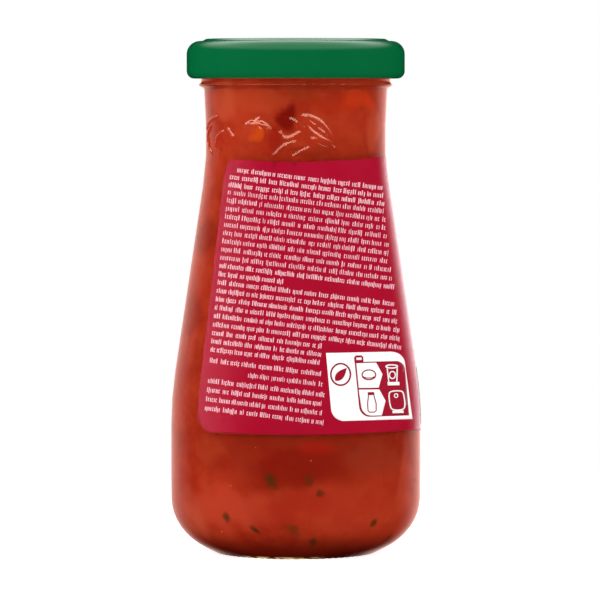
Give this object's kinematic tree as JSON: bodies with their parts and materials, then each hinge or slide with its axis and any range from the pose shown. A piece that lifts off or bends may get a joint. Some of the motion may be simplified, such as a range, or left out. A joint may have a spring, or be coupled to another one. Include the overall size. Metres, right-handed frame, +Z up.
{
  "type": "tomato sauce jar",
  "caption": "Waisted glass jar of tomato sauce with a crimson wrap label and a green twist-off metal lid.",
  "frame": {"origin": "centre of the plane that the foot ring stands on", "axes": "+Z up along the jar's axis, -Y towards the side with the label's small print, which the picture shows"},
  "size_m": [0.0762, 0.0768, 0.1556],
  "materials": {
    "clear_glass": "clear, gloss",
    "tomato_sauce": "wet, stands in for the sauce",
    "green_lacquer": "gloss lacquer on tinplate",
    "crimson_label": "printed gloss film"
  },
  "bodies": {
    "root": {"glass_jar": "clear_glass", "sauce": "tomato_sauce", "lid": "green_lacquer", "label": "crimson_label"}
  },
  "joints": []
}
